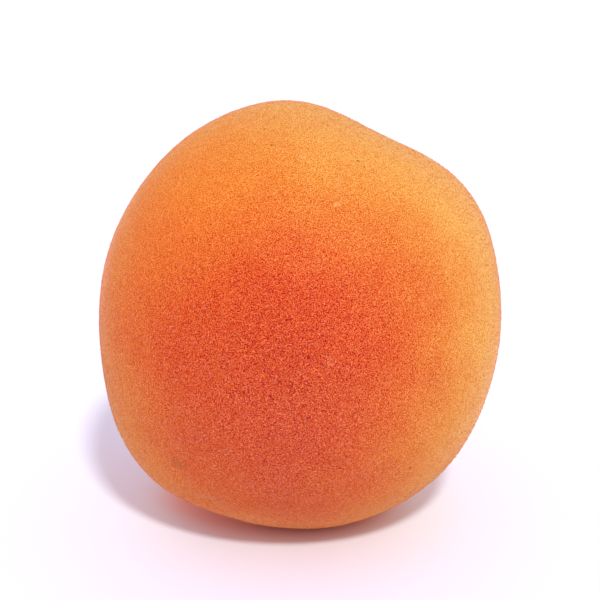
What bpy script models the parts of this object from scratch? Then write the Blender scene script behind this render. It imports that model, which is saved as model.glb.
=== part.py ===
"""A ripe apricot, whole and bare of stem and leaf, lying as it comes to rest on a flat surface.

Metres, +Z up. The origin is the middle of the small flat spot under the fruit's weight. The blushed
dorsal side faces the front, -Y. The stem cavity lies just over the top, to the right, and the suture
runs down the back of the fruit from it to the apex.
"""

import math

import bmesh
import bpy
from mathutils import Matrix, Vector

# The body, about its own middle: the radius of its equator, and how far the ends depart from a ball
EQUATOR_RADIUS = 0.02445
LENGTHENING = 0.009
TAPER = 0.016
SUTURE_WIDENING = 0.010

# The stem cavity: a steep pit in a wider hollow, and the two shoulders that stand beside it
PIT_DEPTH = 0.0042
PIT_SPREAD_DEG = 14.5
HOLLOW_DEPTH = 0.0018
HOLLOW_SPREAD_DEG = 26.0
SHOULDER_RISE = 0.00097
SHOULDER_FROM_STEM_DEG = 32.0
SHOULDER_SPREAD_DEG = 16.0

# The round scar of the stalk on the floor of the cavity: a raised rim round a shallow cup
SCAR_RADIUS_DEG = 5.0
SCAR_RIM_SPREAD_DEG = 1.5
SCAR_RIM_RISE = 0.00035
SCAR_CUP_DEPTH = 0.00030
SCAR_CUP_SPREAD_DEG = 3.0

# The suture: a crease in a shallow valley, from the cavity to the apex, deepest near the cavity
SUTURE_DEPTH = 0.00050
SUTURE_DEEPER_AT_STEM = 0.00095
SUTURE_STEM_SPREAD_DEG = 42.0
SUTURE_CREASE_SHARE = 0.5
SUTURE_CREASE_DEG = 3.6
SUTURE_VALLEY_DEG = 8.5
SUTURE_FADE_AT_STEM_DEG = 9.0
SUTURE_FADE_AT_APEX_DEG = 26.0
SUTURE_LIP_RISE = 0.00020
SUTURE_LIP_DEG = 15.0
SUTURE_LIP_SPREAD_DEG = 7.0

# The apex: a slight point with the small dimple of the lost style on it
APEX_RISE = 0.00050
APEX_SPREAD_DEG = 18.0
DIMPLE_DEPTH = 0.00050
DIMPLE_SPREAD_DEG = 4.0

# How the fruit lies. Seen from the front, from 18 degrees above the surface, a direction is given by
# its clock angle round the fruit's outline and by how far it leans behind the plane of the outline
FRONT_TILT_DEG = 18.0
STEM_CLOCK_DEG = 26.0
STEM_LEAN_BACK_DEG = 16.0

# Uneven growth: places where the flesh stands fuller or flatter than the even body, each with its
# clock angle, its lean behind the outline's plane and its spread in degrees, and its rise in metres
SWELLINGS = {
    "beside the stem": (8.0, 0.0, 18.5, 0.00072),
    "right shoulder": (39.0, 0.0, 16.0, 0.00068),
    "flat right flank": (87.0, 0.0, 27.0, -0.00010),
    "lower right": (137.0, 10.0, 22.0, 0.00114),
    "underside": (174.0, 16.0, 27.0, 0.00178),
    "apex end": (225.0, 4.0, 23.5, 0.00202),
    "flat left flank": (265.0, 0.0, 19.0, -0.00054),
    "left shoulder": (331.5, 0.0, 25.0, 0.00120),
}

# The flat spot: how deep the weight presses the skin, and the band over which the skin rounds into it
PRESS_DEPTH = 0.00075
PRESS_BAND = 0.00030

# The mesh: points down the long section and round the fruit, and how they crowd to where it turns sharply
SECTION_POINTS = 57
SEGMENTS = 76
CROWDING_AT_ENDS = 0.42
CROWDING_AT_SUTURE = 0.40
SAME_POINT = 0.000001

# The finish of the skin
SKIN_COLOUR = (0.83, 0.25, 0.055, 1.0)
SKIN_ROUGHNESS = 0.62


def clear_scene():
    for obj in list(bpy.data.objects):
        bpy.data.objects.remove(obj)


def bump(distance, spread):
    """A smooth rise of height 1 that fades out over the spread."""
    return math.exp(-((distance / spread) ** 2))


def outline_direction(clock_deg, lean_back_deg=0.0):
    """The direction from the fruit's middle to a place on its outline, as seen from the front."""
    clock = math.radians(clock_deg)
    lean = math.radians(lean_back_deg)
    tilt = math.radians(FRONT_TILT_DEG)
    away = Vector((0.0, math.cos(tilt), -math.sin(tilt)))
    up = Vector((0.0, math.sin(tilt), math.cos(tilt)))
    right = Vector((1.0, 0.0, 0.0))
    on_outline = math.sin(clock) * right + math.cos(clock) * up
    return math.cos(lean) * on_outline + math.sin(lean) * away


def lying_pose():
    """Turns the upright fruit, stem up and suture at +X, to the way it lies."""
    stem = outline_direction(STEM_CLOCK_DEG, STEM_LEAN_BACK_DEG)
    away = outline_direction(0.0, 90.0)
    suture = (away - away.dot(stem) * stem).normalized()
    side = stem.cross(suture)
    return Matrix((suture, side, stem)).transposed()


def section_radius(from_stem_deg):
    """The long section of the even body: its radius at an angle from the stem end."""
    along = math.cos(math.radians(from_stem_deg))
    # The second and third Legendre polynomials leave the volume nearly the same
    stretch = LENGTHENING * (1.5 * along**2 - 0.5)
    taper = TAPER * (2.5 * along**3 - 1.5 * along)
    radius = EQUATOR_RADIUS * (1.0 + stretch + taper)
    radius -= PIT_DEPTH * bump(from_stem_deg, PIT_SPREAD_DEG)
    radius -= HOLLOW_DEPTH * bump(from_stem_deg, HOLLOW_SPREAD_DEG)
    radius += SCAR_RIM_RISE * bump(from_stem_deg - SCAR_RADIUS_DEG, SCAR_RIM_SPREAD_DEG)
    radius -= SCAR_CUP_DEPTH * bump(from_stem_deg, SCAR_CUP_SPREAD_DEG)
    radius += APEX_RISE * bump(180.0 - from_stem_deg, APEX_SPREAD_DEG)
    radius -= DIMPLE_DEPTH * bump(180.0 - from_stem_deg, DIMPLE_SPREAD_DEG)
    return radius


def spun_body():
    """The even body: the long section spun round the stem axis."""
    bm = bmesh.new()
    points = []
    for step in range(SECTION_POINTS):
        share = step / (SECTION_POINTS - 1)
        crowded = share - CROWDING_AT_ENDS * math.sin(2.0 * math.pi * share) / (2.0 * math.pi)
        from_stem_deg = 180.0 * crowded
        radius = section_radius(from_stem_deg)
        angle = math.radians(from_stem_deg)
        points.append(bm.verts.new((radius * math.sin(angle), 0.0, radius * math.cos(angle))))
    edges = [bm.edges.new(pair) for pair in zip(points, points[1:])]
    bmesh.ops.spin(
        bm,
        geom=points + edges,
        cent=(0.0, 0.0, 0.0),
        axis=(0.0, 0.0, 1.0),
        angle=2.0 * math.pi,
        steps=SEGMENTS,
        use_merge=True,
    )
    bmesh.ops.remove_doubles(bm, verts=bm.verts, dist=SAME_POINT)
    bmesh.ops.recalc_face_normals(bm, faces=bm.faces)
    return bm


def crowd_to_suture(bm):
    """Turns the points about the stem axis, so that more of them lie near the suture."""
    for vert in bm.verts:
        longitude = math.atan2(vert.co.y, vert.co.x)
        turn = -CROWDING_AT_SUTURE * math.sin(longitude)
        vert.co.rotate(Matrix.Rotation(turn, 3, "Z"))


def suture_rise(from_stem_deg, from_suture_deg):
    """How far the suture, with the soft lips beside it, lifts or sinks the skin."""
    arc = from_suture_deg * math.sin(math.radians(from_stem_deg))
    depth = SUTURE_DEPTH + SUTURE_DEEPER_AT_STEM * bump(from_stem_deg, SUTURE_STEM_SPREAD_DEG)
    crease = SUTURE_CREASE_SHARE * bump(arc, SUTURE_CREASE_DEG)
    valley = (1.0 - SUTURE_CREASE_SHARE) * bump(arc, SUTURE_VALLEY_DEG)
    lip = SUTURE_LIP_RISE * bump(arc - SUTURE_LIP_DEG, SUTURE_LIP_SPREAD_DEG)
    fade = 1.0 - bump(from_stem_deg, SUTURE_FADE_AT_STEM_DEG)
    fade *= 1.0 - bump(180.0 - from_stem_deg, SUTURE_FADE_AT_APEX_DEG)
    return (lip - depth * (crease + valley)) * fade


def grow_unevenly(bm, pose):
    """Cheeks, shoulders, suture and swellings: each moves a point along its own radius."""
    swellings = []
    for clock_deg, lean_back_deg, spread_deg, rise in SWELLINGS.values():
        swellings.append((outline_direction(clock_deg, lean_back_deg), spread_deg, rise))
    for vert in bm.verts:
        radius = vert.co.length
        ray = vert.co.normalized()
        from_stem_deg = math.degrees(math.acos(max(-1.0, min(1.0, ray.z))))
        longitude = math.atan2(ray.y, ray.x)
        across = math.cos(2.0 * longitude)
        radius += EQUATOR_RADIUS * SUTURE_WIDENING * math.sin(math.radians(from_stem_deg)) ** 2 * across
        radius -= SHOULDER_RISE * across * bump(from_stem_deg - SHOULDER_FROM_STEM_DEG, SHOULDER_SPREAD_DEG)
        radius += suture_rise(from_stem_deg, abs(math.degrees(longitude)))
        lying_ray = pose @ ray
        for centre, spread_deg, rise in swellings:
            radius += rise * bump(math.degrees(lying_ray.angle(centre)), spread_deg)
        vert.co = radius * lying_ray


def centre_of_volume(bm):
    """The middle of the fruit's volume, where its weight acts."""
    moment = Vector()
    volume = 0.0
    for loops in bm.calc_loop_triangles():
        a, b, c = (loop.vert.co for loop in loops)
        part = a.dot(b.cross(c)) / 6.0
        moment += part * (a + b + c) / 4.0
        volume += part
    return moment / volume


def press_flat(bm):
    """Flattens the skin where the fruit rests, and puts that flat spot under its weight at the origin."""
    middle = centre_of_volume(bm)
    floor = min(vert.co.z for vert in bm.verts) + PRESS_DEPTH
    for vert in bm.verts:
        height = vert.co.z - floor
        share = max(0.0, min(1.0, height / PRESS_BAND))
        # Flat below the floor, untouched above the band, and a smooth curve between
        rounded = height * share * (2.0 - share)
        vert.co = Vector((vert.co.x - middle.x, vert.co.y - middle.y, max(0.0, rounded)))


def skin_material():
    material = bpy.data.materials.new("apricot_skin")
    material.use_nodes = True
    shader = material.node_tree.nodes["Principled BSDF"]
    shader.inputs["Base Color"].default_value = SKIN_COLOUR
    shader.inputs["Roughness"].default_value = SKIN_ROUGHNESS
    shader.inputs["Metallic"].default_value = 0.0
    material.diffuse_color = SKIN_COLOUR
    return material


def make_apricot():
    bm = spun_body()
    crowd_to_suture(bm)
    grow_unevenly(bm, lying_pose())
    press_flat(bm)
    mesh = bpy.data.meshes.new("apricot")
    bm.to_mesh(mesh)
    bm.free()
    mesh.shade_smooth()
    mesh.materials.append(skin_material())
    apricot = bpy.data.objects.new("apricot", mesh)
    bpy.context.scene.collection.objects.link(apricot)
    return apricot


clear_scene()
make_apricot()
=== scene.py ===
"""The looks of a ripe apricot: its finer skin, blush, freckles and down, and the studio round it."""
import math

import bmesh
import bpy
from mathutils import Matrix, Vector, noise
from mathutils.bvhtree import BVHTree


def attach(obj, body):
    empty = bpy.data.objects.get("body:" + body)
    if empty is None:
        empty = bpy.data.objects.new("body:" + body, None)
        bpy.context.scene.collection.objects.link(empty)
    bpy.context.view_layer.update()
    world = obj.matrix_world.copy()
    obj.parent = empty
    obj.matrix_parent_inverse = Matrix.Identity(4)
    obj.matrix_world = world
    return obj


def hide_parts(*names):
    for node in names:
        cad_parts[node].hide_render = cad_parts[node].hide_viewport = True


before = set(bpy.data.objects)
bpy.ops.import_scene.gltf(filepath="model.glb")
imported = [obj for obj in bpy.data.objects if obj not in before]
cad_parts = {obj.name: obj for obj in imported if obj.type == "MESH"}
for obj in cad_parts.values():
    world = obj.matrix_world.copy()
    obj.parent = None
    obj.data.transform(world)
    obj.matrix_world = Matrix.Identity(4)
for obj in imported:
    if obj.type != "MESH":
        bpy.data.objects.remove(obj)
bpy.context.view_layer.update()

MM = 0.001

# The fruit in its frame: the middle of its body, and the front view that clock angles are told in
BODY_MIDDLE = Vector((0.27, 0.23, 25.63)) * MM
FRONT_TILT_DEG = 18.0
STEM_CLOCK_DEG = 26.0
STEM_LEAN_BACK_DEG = 16.0

# The camera, and where the photograph has the middle of the fruit, in pixels of its 600 x 600 frame
PHOTO_SIDE_PX = 600.0
MIDDLE_PX = (300.5, 314.5)
CAMERA_DISTANCE = 0.200
LENS_MM = 100.0
SENSOR_MM = 36.0
CAMERA_CLIP = (0.01, 20.0)

# Light: a fairly soft key in front, above and a little to the right, and pale light from all round,
# brightest low down, where the white surroundings stand. The light of the horizon fades into that of
# the sky between two heights, which are given as sines
KEY_CLOCK_DEG = 12.0
KEY_HEIGHT_DEG = 46.0
KEY_WIDTH_DEG = 6.0
KEY_STRENGTH = 1.95
KEY_COLOUR = (0.90, 0.96, 1.0)
SKY_STRENGTH = 0.775
SKY_COLOUR = (1.0, 0.86, 1.06)
HORIZON_STRENGTH = 1.15
HORIZON_COLOUR = (1.0, 0.98, 1.22)
HORIZON_FADE = (0.12, 0.30)
FLOOR_SIDE = 6.0
FLOOR_DROP = 0.00001
FLOOR_COLOUR = (0.91, 0.96, 1.0)
FLOOR_FINISH = {"Roughness": 0.9, "Specular IOR Level": 0.1}

# Painted shade on the floor: the paper is painted a warmer, darker colour where it nearly meets the
# fruit, standing in for the fruit's orange light in its shadow. The painted shade ends with the shadow
# in front, and fades away round the resting spot. Each limit has a middle, and the distances from it
# where the painted shade is gone and where it is full, in millimetres
PAINTED_WARM_SHADE = (1.0, 0.56, 0.46)
PAINTED_SHADE_LIMITS = (
    (Vector((-1.0, 10.8, 0.0)), 20.9, 15.1),
    (Vector((-4.0, 0.0, 0.0)), 20.0, 10.0),
)

# The skin's mesh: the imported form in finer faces, with the unevenness that grown flesh has, given as
# wavelengths and heights in millimetres. It fades away towards the floor, so that the fruit rests flat
SAME_POINT = 0.000005
PAIRED_BELOW_DEG = 40.0
FINER_LEVELS = 2
SWELLS = ((9.0, 0.050), (3.2, 0.014), (1.5, 0.006))
SWELLS_FULL_ABOVE = 1.0 * MM

# The middle of the values of a noise, which run from 0 to 1
NOISE_MIDDLE = 0.5

# The skin's colour by its redness, from the yellow ground to the deepest blush
RIPE_COLOURS = (
    (0.00, (0.785, 0.385, 0.074)),
    (0.25, (0.705, 0.225, 0.032)),
    (0.50, (0.650, 0.126, 0.016)),
    (0.75, (0.590, 0.063, 0.007)),
    (1.00, (0.520, 0.032, 0.003)),
)

# The redness of the ground, before any blush is added to it
GROUND_REDNESS = -0.05

# The blush that the front shows: rounded patches, each by the photograph's pixel at its middle, with
# its spread in degrees and how far it reddens
FRONT_BLUSH = (
    ((279, 326), 27.0, 0.38),
    ((189, 304), 49.0, 0.54),
    ((165, 230), 16.0, 0.11),
    ((291, 488), 39.0, 0.57),
    ((393, 351), 27.0, 0.20),
    ((417, 257), 22.5, 0.11),
)

# Fainter flushes on the far side: clock angle and lean behind the outline, spread in degrees, redness
FAR_BLUSH = (
    ((0.0, 90.0), 66.0, 0.20),
    ((272.0, 42.0), 33.0, 0.20),
    ((318.0, 52.0), 24.0, 0.15),
    ((118.0, 58.0), 20.0, 0.16),
    ((212.0, 58.0), 22.0, 0.14),
)

# The line of the suture, and the flush beside it: widths in degrees, and redness. Both fade in on the
# suture's side of the fruit, between two cosines of the angle to the middle of that side
SUTURE_BANDS = ((3.0, 0.07), (11.0, 0.14))
SUTURE_SIDE = (0.0, 0.3)

# Uneven ripening: wavelengths in millimetres and strengths, and how far it bends the patches' edges
RIPENING = ((11.0, 0.15), (2.6, 0.11), (0.8, 0.04))
BENT_BY_MM = 8.0
BENT_OVER_MM = 9.0

# Tints that the redness alone doesn't give: a dusky bloom low in front, a warm patch high on the left,
# and a greener yellow round the stem, with their spread in degrees, strength and colour
DUSK_PX = (290, 440)
DUSK = (34.0, 0.22, (0.42, 0.12, 0.085))
WARM_PX = (185, 190)
WARM = (26.0, 0.50, (0.82, 0.25, 0.018))
CAVITY = (24.0, 0.55, (0.70, 0.42, 0.085))

# The grain of the skin: a maze of fine light and dark strokes, with dark pores in the yellow ground.
# The grain lightens or darkens the skin by one colour on the ground and by another on the full blush,
# and the result stays between the darkest and the lightest
MAZE_MM = 0.11
MAZE_CONTRAST = 7.0
PORE_MM = 0.28
PORE_REACH = (0.36, 0.12)
PORE_DEPTH = 2.6
GRAIN_ON_GROUND = (0.082, 0.072, 0.034)
GRAIN_ON_BLUSH = (0.165, 0.060, 0.009)
GRAIN_HEIGHT_MM = 0.005
DARKEST = (0.02, 0.004, 0.001)
LIGHTEST = (0.95, 0.75, 0.45)

# Freckles: dark pin points, here and there
FRECKLE_MM = 2.6
FRECKLE_RADIUS_MM = 0.15
FRECKLE_SHARE = 0.22
FRECKLE_STRENGTH = 0.65
FRECKLE = (0.30, 0.075, 0.018)

# Marks that the photograph shows: pixel, radius in millimetres, strength and colour. Marks and
# freckles are full within a share of their radius
MARKS = (
    ((331, 361), 0.80, 0.22, (0.80, 0.25, 0.10)),
    ((410, 468), 0.26, 0.90, (0.16, 0.04, 0.01)),
    ((178, 464), 1.20, 0.32, (0.36, 0.12, 0.05)),
    ((173, 461), 0.22, 0.60, (0.22, 0.06, 0.02)),
    ((181, 467), 0.18, 0.60, (0.22, 0.06, 0.02)),
    ((272, 145), 0.22, 0.90, (0.20, 0.06, 0.02)),
    ((265, 129), 0.20, 0.80, (0.22, 0.07, 0.02)),
    ((358, 161), 0.22, 0.80, (0.22, 0.07, 0.02)),
    ((303, 157), 0.45, 0.40, (0.85, 0.48, 0.22)),
    ((337, 204), 0.45, 0.35, (0.85, 0.45, 0.18)),
)
MARK_CORE_SHARE = 0.5

# The scar of the stalk, by angle from the stem end: rings of corky colours, each from where it starts
# to where it is full, over a ragged edge, with paler flecks in the cup. The down stays outside the
# scar's edge. At the apex, the dry dot of the style
SCAR_EDGE_DEG = 6.2
SCAR_RINGS = (
    (9.5, 6.0, (0.42, 0.22, 0.065)),
    (6.6, 5.4, (0.125, 0.060, 0.024)),
    (4.8, 3.4, (0.26, 0.14, 0.058)),
)
SCAR_FLECK = (0.40, 0.25, 0.12)
SCAR_FLECK_FADE = (0.5, 0.66)
SCAR_GRAIN_MM = 0.6
SCAR_GRAIN_DETAIL = 4.0
SCAR_RAGGED_DEG = 3.0
STYLE_EDGE_DEG = 0.65
STYLE_DRY = (0.085, 0.038, 0.016)

# The finish of the skin: a roughness that wanders a little, a faint gloss, some light through the
# flesh, and the sheen of the finest down
SKIN_ROUGHNESS = 0.62
ROUGHNESS_SWING = 0.2
ROUGHNESS_MM = 1.8
SKIN_FINISH = {
    "Specular IOR Level": 0.12,
    "Subsurface Weight": 0.12,
    "Subsurface Radius": (1.0, 0.35, 0.15),
    "Subsurface Scale": 2.0 * MM,
    "Sheen Weight": 0.26,
    "Sheen Roughness": 0.25,
    "Sheen Tint": (1.0, 0.80, 0.68, 1.0),
}

# The down: short hairs, thin at the tip, that lean over the skin as a soft noise combs them. Hairs of
# a warm colour grow nearly all over, in a few parts, and paler ones thickest low on the left in front.
# The seed of a part is its number, and more is added to it for the lean, lift and size of its hairs
HAIR_LENGTH = 0.32 * MM
HAIR_THICKNESS = 0.045 * MM
HAIR_SIDES = 3
HAIR_SINK = 0.006 * MM
HAIR_LIFT = (0.04, 0.40)
HAIR_SIZES = (0.55, 1.15)
COMB_MM = 6.25
COMB_STRENGTH = 4.0
LEAN_SEED = 100
LIFT_SEED = 200
SIZE_SEED = 300
BARE_BELOW = 0.5 * MM
DOWN_FINISH = {"Roughness": 0.6, "Specular IOR Level": 0.1}
WARM_PARTS = 3
WARM_HAIRS_PER_SQUARE_MM = 11.0
WARM_DOWN = (0.90, 0.22, 0.022, 1.0)
PALE_HAIRS_PER_SQUARE_MM = 4.0
PALE_SPREAD_DEG = 48.0
PALE_PX = (200, 440)
PALE_DOWN = (0.98, 0.50, 0.38, 1.0)


def outline_direction(clock_deg, lean_back_deg=0.0):
    """The direction from the fruit's middle to a place on its outline, as seen from the front."""
    clock = math.radians(clock_deg)
    lean = math.radians(lean_back_deg)
    tilt = math.radians(FRONT_TILT_DEG)
    away = Vector((0.0, math.cos(tilt), -math.sin(tilt)))
    up = Vector((0.0, math.sin(tilt), math.cos(tilt)))
    right = Vector((1.0, 0.0, 0.0))
    on_outline = math.sin(clock) * right + math.cos(clock) * up
    return math.cos(lean) * on_outline + math.sin(lean) * away


AWAY = outline_direction(0.0, 90.0)
UP = outline_direction(0.0)
RIGHT = outline_direction(90.0)
STEM = outline_direction(STEM_CLOCK_DEG, STEM_LEAN_BACK_DEG)
SUTURE = (AWAY - AWAY.dot(STEM) * STEM).normalized()
CAMERA_PLACE = BODY_MIDDLE - CAMERA_DISTANCE * AWAY


def camera_ray(pixel):
    """The direction in which the camera sees a pixel of the photograph."""
    focal_px = LENS_MM / SENSOR_MM * PHOTO_SIDE_PX
    across = (pixel[0] - MIDDLE_PX[0]) / focal_px
    down = (pixel[1] - MIDDLE_PX[1]) / focal_px
    return (AWAY + across * RIGHT - down * UP).normalized()


def make_camera():
    camera = bpy.data.objects.new("camera", bpy.data.cameras.new("camera"))
    camera.data.lens = LENS_MM
    camera.data.sensor_width = SENSOR_MM
    camera.data.shift_x = (PHOTO_SIDE_PX / 2 - MIDDLE_PX[0]) / PHOTO_SIDE_PX
    camera.data.shift_y = (MIDDLE_PX[1] - PHOTO_SIDE_PX / 2) / PHOTO_SIDE_PX
    camera.data.clip_start, camera.data.clip_end = CAMERA_CLIP
    camera.location = CAMERA_PLACE
    camera.rotation_euler = AWAY.to_track_quat("-Z", "Y").to_euler()
    bpy.context.scene.collection.objects.link(camera)
    bpy.context.scene.camera = camera


class Nodes:
    """A node tree, with short calls for the nodes that the materials and the down repeat."""

    def __init__(self, tree):
        self.tree = tree

    def put(self, socket, value):
        """Links a socket's value in, or sets any other value."""
        if isinstance(value, bpy.types.NodeSocket):
            self.tree.links.new(value, socket)
        else:
            socket.default_value = value

    def add(self, kind, inputs=None, **settings):
        """Adds a node, with its inputs by name or by number."""
        node = self.tree.nodes.new(kind)
        for key, value in settings.items():
            setattr(node, key, value)
        for key, value in (inputs or {}).items():
            self.put(node.inputs[key], value)
        return node

    def math(self, operation, first, second=0.0):
        return self.add("ShaderNodeMath", {0: first, 1: second}, operation=operation).outputs[0]

    def vector(self, operation, first, second=None):
        """A vector sum. The second operand is a number for SCALE, and a vector otherwise."""
        node = self.add("ShaderNodeVectorMath", {0: first}, operation=operation)
        if second is not None:
            self.put(node.inputs["Scale" if operation == "SCALE" else 1], second)
        return node.outputs["Value" if operation in ("DOT_PRODUCT", "DISTANCE") else "Vector"]

    def random(self, low, high, seed, data_type="FLOAT"):
        """A random number or vector for each hair."""
        node = self.add("FunctionNodeRandomValue", {"Seed": seed}, data_type=data_type)
        # The numbers of the sockets for the two ends and the result
        low_at, high_at, result_at = {"FLOAT": (2, 3, 1), "FLOAT_VECTOR": (0, 1, 0)}[data_type]
        self.put(node.inputs[low_at], low)
        self.put(node.inputs[high_at], high)
        return node.outputs[result_at]

    def eased(self, value, start, end):
        """0 up to the start, 1 past the end, and a smooth step between. Either may be the greater."""
        inputs = {"Value": value, "From Min": start, "From Max": end}
        return self.add("ShaderNodeMapRange", inputs, interpolation_type="SMOOTHSTEP").outputs[0]

    def mix(self, share, first, second):
        """Mixes two colours, which enter by sockets 6 and 7 and leave by socket 2."""
        first = first if isinstance(first, bpy.types.NodeSocket) else (*first, 1.0)
        second = second if isinstance(second, bpy.types.NodeSocket) else (*second, 1.0)
        return self.add("ShaderNodeMix", {0: share, 6: first, 7: second}, data_type="RGBA").outputs[2]

    def noise(self, place, wavelength_mm, detail=2.0):
        """Soft noise of a wavelength, with its value and its colour."""
        inputs = {"Vector": place, "Scale": 1.0 / (wavelength_mm * MM), "Detail": detail}
        return self.add("ShaderNodeTexNoise", inputs).outputs

    def swing(self, value, strength):
        """A noise value swung about zero."""
        return self.math("MULTIPLY", self.math("SUBTRACT", value, NOISE_MIDDLE), strength)

    def swing_way(self, colour, strength):
        """A noise's colour as a direction, swung about zero."""
        return self.vector("SCALE", self.vector("SUBTRACT", colour, [NOISE_MIDDLE] * 3), strength)

    def cells(self, place, spacing_mm):
        """Scattered points, with the distance to the nearest, in spacings, and its random colour."""
        inputs = {"Vector": place, "Scale": 1.0 / (spacing_mm * MM)}
        return self.add("ShaderNodeTexVoronoi", inputs).outputs

    def bell(self, share):
        """1 where the share is zero, fading on both sides to about a third at 1 and to nothing at 2."""
        square = self.math("MULTIPLY", share, share)
        return self.math("EXPONENT", self.math("MULTIPLY", square, -1.0))

    def lobe(self, ray, middle, spread_deg):
        """A rounded patch on the fruit: 1 at its middle, and fading over its spread."""
        angle = self.math("ARCCOSINE", self.vector("DOT_PRODUCT", ray, middle))
        return self.bell(self.math("DIVIDE", angle, math.radians(spread_deg)))


def new_material(name, finish):
    """A material with its nodes and its shader, which has the finish's values on its sockets."""
    material = bpy.data.materials.new(name)
    material.use_nodes = True
    shader = material.node_tree.nodes["Principled BSDF"]
    for socket, value in finish.items():
        shader.inputs[socket].default_value = value
    return material, Nodes(material.node_tree), shader


def light_the_studio():
    scene = bpy.context.scene
    scene.view_settings.view_transform = "Standard"
    lamp = bpy.data.objects.new("soft_key", bpy.data.lights.new("soft_key", "SUN"))
    lamp.data.energy = KEY_STRENGTH
    lamp.data.color = KEY_COLOUR
    lamp.data.angle = math.radians(KEY_WIDTH_DEG)
    clock = math.radians(KEY_CLOCK_DEG)
    height = math.radians(KEY_HEIGHT_DEG)
    towards = Vector(
        (math.sin(clock) * math.cos(height), -math.cos(clock) * math.cos(height), math.sin(height))
    )
    lamp.rotation_euler = towards.to_track_quat("Z", "Y").to_euler()
    scene.collection.objects.link(lamp)
    scene.world = bpy.data.worlds.new("pale_studio")
    scene.world.use_nodes = True
    nodes = Nodes(scene.world.node_tree)
    way = nodes.add("ShaderNodeTexCoord").outputs["Generated"]
    rise = nodes.add("ShaderNodeSeparateXYZ", {0: way}).outputs["Z"]
    horizon = [HORIZON_STRENGTH * part for part in HORIZON_COLOUR]
    sky = [SKY_STRENGTH * part for part in SKY_COLOUR]
    light = nodes.mix(nodes.eased(rise, *HORIZON_FADE), horizon, sky)
    nodes.put(scene.world.node_tree.nodes["Background"].inputs["Color"], light)


def as_object(name, bm):
    """Makes a named object of a bmesh, and frees it."""
    mesh = bpy.data.meshes.new(name)
    bm.to_mesh(mesh)
    bm.free()
    thing = bpy.data.objects.new(name, mesh)
    bpy.context.scene.collection.objects.link(thing)
    return thing


def lay_the_floor():
    bm = bmesh.new()
    bmesh.ops.create_grid(bm, x_segments=1, y_segments=1, size=FLOOR_SIDE / 2)
    bmesh.ops.translate(bm, verts=bm.verts, vec=(0.0, 0.0, -FLOOR_DROP))
    floor = as_object("floor", bm)
    paper, nodes, shader = new_material("white_paper_painted_shade", FLOOR_FINISH)
    place = nodes.add("ShaderNodeTexCoord").outputs["Object"]
    # Painted shade: near the fruit, the paper's colour turns to a warm, darker colour that stands in
    # for the fruit's light in its shadow
    painted_shade = 1.0
    for middle, gone_mm, full_mm in PAINTED_SHADE_LIMITS:
        distance = nodes.vector("DISTANCE", place, middle * MM)
        painted_shade = nodes.math("MULTIPLY", painted_shade, nodes.eased(distance, gone_mm * MM, full_mm * MM))
    nodes.put(shader.inputs["Base Color"], nodes.mix(painted_shade, FLOOR_COLOUR, PAINTED_WARM_SHADE))
    floor.data.materials.append(paper)


def apply_modifiers(thing):
    """Turns what the modifiers make of a piece into its own mesh."""
    graph = bpy.context.evaluated_depsgraph_get()
    finished = bpy.data.meshes.new_from_object(thing.evaluated_get(graph))
    thing.modifiers.clear()
    thing.data = finished


def grow_skin():
    """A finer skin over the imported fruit: its loose triangles merged, paired and subdivided."""
    bm = bmesh.new()
    bm.from_mesh(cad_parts["apricot"].data)
    bmesh.ops.remove_doubles(bm, verts=bm.verts, dist=SAME_POINT)
    bmesh.ops.join_triangles(
        bm,
        faces=bm.faces,
        angle_face_threshold=math.radians(PAIRED_BELOW_DEG),
        angle_shape_threshold=math.pi,
    )
    skin = as_object("apricot_skin", bm)
    finer = skin.modifiers.new("finer", "SUBSURF")
    finer.levels = FINER_LEVELS
    finer.render_levels = FINER_LEVELS
    apply_modifiers(skin)
    bm = bmesh.new()
    bm.from_mesh(skin.data)
    for vert in bm.verts:
        rise = sum(height * noise.noise(vert.co / (length * MM)) for length, height in SWELLS)
        vert.co += vert.normal * (rise * MM * min(1.0, vert.co.z / SWELLS_FULL_ABOVE))
    bm.to_mesh(skin.data)
    seen = BVHTree.FromBMesh(bm)
    bm.free()
    skin.data.shade_smooth()
    skin.data.materials.clear()
    skin.data.materials.append(skin_material(seen))
    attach(skin, "root")
    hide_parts("apricot")
    return skin, seen


def spot_at(seen, pixel):
    """The place on the skin that the photograph shows at a pixel."""
    return seen.ray_cast(CAMERA_PLACE, camera_ray(pixel))[0]


def way_to(seen, pixel):
    """The direction from the body's middle to what the photograph shows at a pixel."""
    return (spot_at(seen, pixel) - BODY_MIDDLE).normalized()


def redness(nodes, place, straight, ray, seen):
    """How far the skin has reddened: the patches of blush, with uneven ripening in and round them."""
    total = GROUND_REDNESS
    across = nodes.vector("DOT_PRODUCT", straight, STEM.cross(SUTURE))
    rear = nodes.eased(nodes.vector("DOT_PRODUCT", straight, SUTURE), *SUTURE_SIDE)
    for width_deg, share in SUTURE_BANDS:
        band = nodes.bell(nodes.math("DIVIDE", across, math.sin(math.radians(width_deg))))
        flush = nodes.math("MULTIPLY", nodes.math("MULTIPLY", band, rear), share)
        total = nodes.math("ADD", total, flush)
    for pixel, spread_deg, share in FRONT_BLUSH:
        patch = nodes.lobe(ray, way_to(seen, pixel), spread_deg)
        total = nodes.math("ADD", total, nodes.math("MULTIPLY", patch, share))
    for (clock_deg, lean_deg), spread_deg, share in FAR_BLUSH:
        patch = nodes.lobe(ray, outline_direction(clock_deg, lean_deg), spread_deg)
        total = nodes.math("ADD", total, nodes.math("MULTIPLY", patch, share))
    for wavelength_mm, strength in RIPENING:
        total = nodes.math("ADD", total, nodes.swing(nodes.noise(place, wavelength_mm)[0], strength))
    return total


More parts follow.
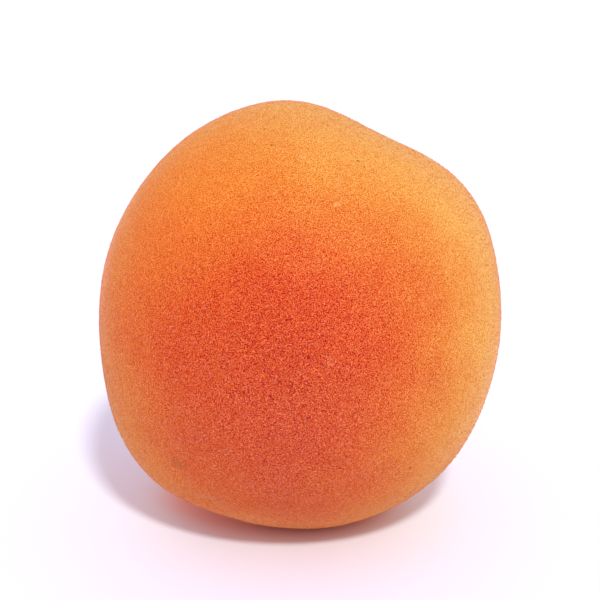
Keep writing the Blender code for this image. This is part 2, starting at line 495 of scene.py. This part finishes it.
def skin_material(seen):
    """Yellow ground under a red blush, with marks, freckles, grain, the scar and the style's dot."""
    material, nodes, shader = new_material("blushed_skin", SKIN_FINISH)
    place = nodes.add("ShaderNodeTexCoord").outputs["Object"]
    out = nodes.vector("SUBTRACT", place, BODY_MIDDLE)
    straight = nodes.vector("NORMALIZE", out)
    bend = nodes.swing_way(nodes.noise(place, BENT_OVER_MM)[1], BENT_BY_MM * MM)
    ray = nodes.vector("NORMALIZE", nodes.vector("ADD", out, bend))
    red = redness(nodes, place, straight, ray, seen)

    ramp = nodes.add("ShaderNodeValToRGB", {0: red})
    for stop, (at, colour) in zip(ramp.color_ramp.elements, (RIPE_COLOURS[0], RIPE_COLOURS[-1])):
        stop.position = at
        stop.color = (*colour, 1.0)
    for at, colour in RIPE_COLOURS[1:-1]:
        ramp.color_ramp.elements.new(at).color = (*colour, 1.0)
    colour = ramp.outputs[0]

    tints = ((way_to(seen, DUSK_PX), DUSK), (way_to(seen, WARM_PX), WARM), (STEM, CAVITY))
    for middle, (spread_deg, strength, tint) in tints:
        patch = nodes.math("MULTIPLY", nodes.lobe(ray, middle, spread_deg), strength)
        colour = nodes.mix(patch, colour, tint)
    for pixel, radius_mm, strength, tint in MARKS:
        gap = nodes.vector("DISTANCE", place, spot_at(seen, pixel))
        mark = nodes.eased(gap, radius_mm * MM, MARK_CORE_SHARE * radius_mm * MM)
        colour = nodes.mix(nodes.math("MULTIPLY", mark, strength), colour, tint)
    freckles = nodes.cells(place, FRECKLE_MM)
    reach = FRECKLE_RADIUS_MM / FRECKLE_MM
    chance = nodes.add("ShaderNodeSeparateColor", {0: freckles[1]}).outputs[0]
    there = nodes.math("LESS_THAN", chance, FRECKLE_SHARE)
    dot = nodes.math("MULTIPLY", nodes.eased(freckles[0], reach, MARK_CORE_SHARE * reach), there)
    colour = nodes.mix(nodes.math("MULTIPLY", dot, FRECKLE_STRENGTH), colour, FRECKLE)

    maze = nodes.swing(nodes.noise(place, MAZE_MM, detail=0.0)[0], MAZE_CONTRAST)
    pore = nodes.eased(nodes.cells(place, PORE_MM)[0], *PORE_REACH)
    ground = nodes.math("SUBTRACT", 1.0, red)
    pitted = nodes.math("MULTIPLY", nodes.math("MULTIPLY", pore, ground), PORE_DEPTH)
    grain = nodes.math("SUBTRACT", maze, pitted)
    strength = nodes.mix(nodes.math("MULTIPLY", red, red), GRAIN_ON_GROUND, GRAIN_ON_BLUSH)
    colour = nodes.vector("ADD", colour, nodes.vector("SCALE", strength, grain))
    colour = nodes.vector("MINIMUM", nodes.vector("MAXIMUM", colour, DARKEST), LIGHTEST)

    from_stem = nodes.math("ARCCOSINE", nodes.vector("DOT_PRODUCT", straight, STEM))
    rough = nodes.noise(place, SCAR_GRAIN_MM, SCAR_GRAIN_DETAIL)[0]
    ragged = nodes.math("ADD", from_stem, nodes.swing(rough, math.radians(SCAR_RAGGED_DEG)))
    for start_deg, end_deg, tint in SCAR_RINGS:
        ring = nodes.eased(ragged, math.radians(start_deg), math.radians(end_deg))
        colour = nodes.mix(ring, colour, tint)
    # The last ring is the cup
    fleck = nodes.math("MULTIPLY", ring, nodes.eased(rough, *SCAR_FLECK_FADE))
    colour = nodes.mix(fleck, colour, SCAR_FLECK)
    style = math.radians(180.0 - STYLE_EDGE_DEG)
    halfway = (style + math.pi) / 2
    colour = nodes.mix(nodes.eased(from_stem, style, halfway), colour, STYLE_DRY)
    nodes.put(shader.inputs["Base Color"], colour)

    height = nodes.math("MULTIPLY", grain, GRAIN_HEIGHT_MM)
    bump = nodes.add("ShaderNodeBump", {"Strength": 1.0, "Distance": MM, "Height": height}).outputs[0]
    nodes.put(shader.inputs["Normal"], bump)
    wander = nodes.swing(nodes.noise(place, ROUGHNESS_MM)[0], ROUGHNESS_SWING)
    nodes.put(shader.inputs["Roughness"], nodes.math("ADD", SKIN_ROUGHNESS, wander))
    return material


def down_tree(material, density, seed, patch=None):
    """Hairs on a skin: points scattered on it, a thin spike on each, leaning its own way."""
    tree = bpy.data.node_groups.new("down", "GeometryNodeTree")
    tree.interface.new_socket("Geometry", in_out="INPUT", socket_type="NodeSocketGeometry")
    tree.interface.new_socket("Geometry", in_out="OUTPUT", socket_type="NodeSocketGeometry")
    nodes = Nodes(tree)
    skin = nodes.add("NodeGroupInput").outputs[0]
    place = nodes.add("GeometryNodeInputPosition").outputs[0]
    height = nodes.add("ShaderNodeSeparateXYZ", {0: place}).outputs["Z"]
    clear = nodes.math("GREATER_THAN", height, BARE_BELOW)
    ray = nodes.vector("NORMALIZE", nodes.vector("SUBTRACT", place, BODY_MIDDLE))
    scar = math.cos(math.radians(SCAR_EDGE_DEG))
    off_scar = nodes.math("LESS_THAN", nodes.vector("DOT_PRODUCT", ray, STEM), scar)
    growth = nodes.math("MULTIPLY", nodes.math("MULTIPLY", clear, off_scar), density)
    if patch:
        growth = nodes.math("MULTIPLY", growth, nodes.lobe(ray, *patch))
    inputs = {"Mesh": skin, "Density": growth, "Seed": seed}
    scatter = nodes.add("GeometryNodeDistributePointsOnFaces", inputs)
    normal = scatter.outputs["Normal"]

    wild = nodes.random((-1.0, -1.0, -1.0), (1.0, 1.0, 1.0), seed + LEAN_SEED, "FLOAT_VECTOR")
    combed = nodes.swing_way(nodes.noise(place, COMB_MM)[1], COMB_STRENGTH)
    along = nodes.vector("CROSS_PRODUCT", nodes.vector("ADD", wild, combed), normal)
    lifted = nodes.vector("SCALE", normal, nodes.random(*HAIR_LIFT, seed + LIFT_SEED))
    leaning = nodes.vector("ADD", nodes.vector("NORMALIZE", along), lifted)
    turned = nodes.add("FunctionNodeAlignEulerToVector", {"Vector": leaning}, axis="Z").outputs[0]

    inputs = {
        "Vertices": HAIR_SIDES,
        "Radius Top": 0.0,
        "Radius Bottom": HAIR_THICKNESS / 2,
        "Depth": HAIR_LENGTH,
    }
    spike = nodes.add("GeometryNodeMeshCone", inputs, fill_type="NGON").outputs["Mesh"]
    sunk = nodes.vector("SCALE", normal, -HAIR_SINK)
    inputs = {"Geometry": scatter.outputs["Points"], "Offset": sunk}
    rooted = nodes.add("GeometryNodeSetPosition", inputs).outputs[0]
    size = nodes.random(*HAIR_SIZES, seed + SIZE_SEED)
    inputs = {"Points": rooted, "Instance": spike, "Rotation": turned, "Scale": size}
    planted = nodes.add("GeometryNodeInstanceOnPoints", inputs).outputs[0]
    hairs = nodes.add("GeometryNodeRealizeInstances", {0: planted}).outputs[0]
    inputs = {"Geometry": hairs, "Material": material}
    finished = nodes.add("GeometryNodeSetMaterial", inputs).outputs[0]
    nodes.add("NodeGroupOutput", {0: finished})
    return tree


def grow_down(name, skin, tree):
    """One part of the down, as real hairs."""
    down = bpy.data.objects.new(name, skin.data.copy())
    bpy.context.scene.collection.objects.link(down)
    down.modifiers.new("hairs", "NODES").node_group = tree
    apply_modifiers(down)
    down.data.shade_smooth()
    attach(down, "root")


def down_material(name, colour):
    return new_material(name, {"Base Color": colour, **DOWN_FINISH})[0]


def grow_all_down(skin, seen):
    warm = down_material("warm_down", WARM_DOWN)
    density = WARM_HAIRS_PER_SQUARE_MM / WARM_PARTS / MM**2
    for part in range(1, WARM_PARTS + 1):
        grow_down(f"apricot_down_{part}", skin, down_tree(warm, density, part))
    pale = down_material("pale_down", PALE_DOWN)
    patch = (way_to(seen, PALE_PX), PALE_SPREAD_DEG)
    last = WARM_PARTS + 1
    pale_tree = down_tree(pale, PALE_HAIRS_PER_SQUARE_MM / MM**2, last, patch)
    grow_down(f"apricot_down_{last}", skin, pale_tree)


make_camera()
light_the_studio()
lay_the_floor()
grow_all_down(*grow_skin())
